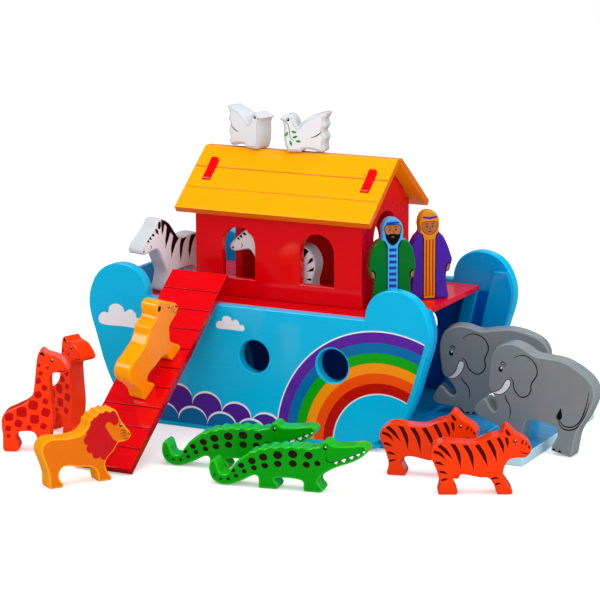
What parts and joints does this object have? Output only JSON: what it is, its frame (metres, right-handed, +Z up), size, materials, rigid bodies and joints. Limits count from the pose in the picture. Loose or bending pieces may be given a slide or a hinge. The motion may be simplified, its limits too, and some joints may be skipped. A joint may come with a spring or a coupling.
{
  "type": "toy ark set",
  "caption": "Painted wooden toy ark with a lift-off pitched roof, slot-in end boards, a plank gangway, pairs of flat cut-out animals and two robed figures.",
  "frame": {"origin": "middle of the hull's underside, on the floor it stands on", "axes": "+X along the hull from bow to stern, +Y across it away from the gangway side, +Z up"},
  "size_m": [0.5411, 0.4769, 0.3106],
  "materials": {
    "blue_paint": "gloss paint",
    "red_paint": "gloss paint",
    "yellow_paint": "gloss paint",
    "board_paint": "gloss paint",
    "giraffe_paint": "gloss paint",
    "lion_paint": "gloss paint",
    "white_paint": "gloss paint",
    "green_paint": "gloss paint",
    "tiger_paint": "gloss paint",
    "grey_paint": "gloss paint",
    "robe_green": "gloss paint",
    "robe_purple": "gloss paint"
  },
  "bodies": {
    "ark": {"hull_side_front": "blue_paint", "hull_side_back": "blue_paint", "hull_floor": "blue_paint", "deck": "red_paint", "batten_bow_front_outer": "blue_paint", "batten_bow_front_inner": "blue_paint", "batten_bow_back_outer": "blue_paint", "batten_bow_back_inner": "blue_paint", "batten_stern_front_outer": "blue_paint", "batten_stern_front_inner": "blue_paint", "batten_stern_back_outer": "blue_paint", "batten_stern_back_inner": "blue_paint", "cabin_front_wall": "red_paint", "cabin_back_wall": "red_paint", "cabin_bow_wall": "red_paint", "cabin_stern_wall": "red_paint"},
    "roof": {"roof_front_panel": "yellow_paint", "roof_back_panel": "yellow_paint"},
    "bow_board_piece": {"bow_board": "board_paint"},
    "stern_board_piece": {"stern_board": "board_paint"},
    "gangway_piece": {"gangway": "red_paint"},
    "giraffe_near_piece": {"giraffe_near": "giraffe_paint"},
    "giraffe_far_piece": {"giraffe_far": "giraffe_paint"},
    "lion_piece": {"lion": "lion_paint"},
    "lioness_piece": {"lioness": "lion_paint"},
    "zebra_bow_piece": {"zebra_bow": "white_paint"},
    "zebra_cabin_piece": {"zebra_cabin": "white_paint"},
    "dove_left_piece": {"dove_left": "white_paint"},
    "dove_right_piece": {"dove_right": "white_paint"},
    "crocodile_near_piece": {"crocodile_near": "green_paint"},
    "crocodile_far_piece": {"crocodile_far": "green_paint"},
    "tiger_near_piece": {"tiger_near": "tiger_paint"},
    "tiger_far_piece": {"tiger_far": "tiger_paint"},
    "elephant_near_piece": {"elephant_near": "grey_paint"},
    "elephant_far_piece": {"elephant_far": "grey_paint"},
    "figure_bearded_piece": {"figure_bearded": "robe_green"},
    "figure_hooded_piece": {"figure_hooded": "robe_purple"}
  },
  "joints": [
    {"name": "roof_lift", "type": "slide", "parent": "ark", "child": "roof", "axis": [0, 0, 1], "range_m": [0, 0.1]},
    {"name": "bow_board_slide", "type": "slide", "parent": "ark", "child": "bow_board_piece", "axis": [-0.2233, 0, 0.9748], "range_m": [0, 0.09]},
    {"name": "stern_board_slide", "type": "slide", "parent": "ark", "child": "stern_board_piece", "axis": [1, 0, 0], "range_m": [0, 0.05]},
    {"name": "gangway_lift", "type": "slide", "parent": "ark", "child": "gangway_piece", "axis": [0, 0, 1], "range_m": [0, 0.015]},
    {"name": "giraffe_near_lift", "type": "slide", "parent": "ark", "child": "giraffe_near_piece", "axis": [0, 0, 1], "range_m": [0, 0.05]},
    {"name": "giraffe_far_lift", "type": "slide", "parent": "ark", "child": "giraffe_far_piece", "axis": [0, 0, 1], "range_m": [0, 0.05]},
    {"name": "lion_lift", "type": "slide", "parent": "ark", "child": "lion_piece", "axis": [0, 0, 1], "range_m": [0, 0.04]},
    {"name": "lioness_lift", "type": "slide", "parent": "gangway_piece", "child": "lioness_piece", "axis": [0, 0, 1], "range_m": [0, 0.03]},
    {"name": "zebra_bow_lift", "type": "slide", "parent": "ark", "child": "zebra_bow_piece", "axis": [0, 0, 1], "range_m": [0, 0.03]},
    {"name": "zebra_cabin_lift", "type": "slide", "parent": "ark", "child": "zebra_cabin_piece", "axis": [0, 0, 1], "range_m": [0, 0.02]},
    {"name": "dove_left_lift", "type": "slide", "parent": "roof", "child": "dove_left_piece", "axis": [0, 0, 1], "range_m": [0, 0.04]},
    {"name": "dove_right_lift", "type": "slide", "parent": "roof", "child": "dove_right_piece", "axis": [0, 0, 1], "range_m": [0, 0.04]},
    {"name": "crocodile_near_lift", "type": "slide", "parent": "ark", "child": "crocodile_near_piece", "axis": [0, 0, 1], "range_m": [0, 0.05]},
    {"name": "crocodile_far_lift", "type": "slide", "parent": "ark", "child": "crocodile_far_piece", "axis": [0, 0, 1], "range_m": [0, 0.05]},
    {"name": "tiger_near_lift", "type": "slide", "parent": "ark", "child": "tiger_near_piece", "axis": [0, 0, 1], "range_m": [0, 0.05]},
    {"name": "tiger_far_lift", "type": "slide", "parent": "ark", "child": "tiger_far_piece", "axis": [0, 0, 1], "range_m": [0, 0.05]},
    {"name": "elephant_near_lift", "type": "slide", "parent": "stern_board_piece", "child": "elephant_near_piece", "axis": [0, 0, 1], "range_m": [0, 0.04]},
    {"name": "elephant_far_lift", "type": "slide", "parent": "stern_board_piece", "child": "elephant_far_piece", "axis": [0, 0, 1], "range_m": [0, 0.02]},
    {"name": "figure_bearded_lift", "type": "slide", "parent": "ark", "child": "figure_bearded_piece", "axis": [0, 0, 1], "range_m": [0, 0.015]},
    {"name": "figure_hooded_lift", "type": "slide", "parent": "ark", "child": "figure_hooded_piece", "axis": [0, 0, 1], "range_m": [0, 0.03]}
  ]
}
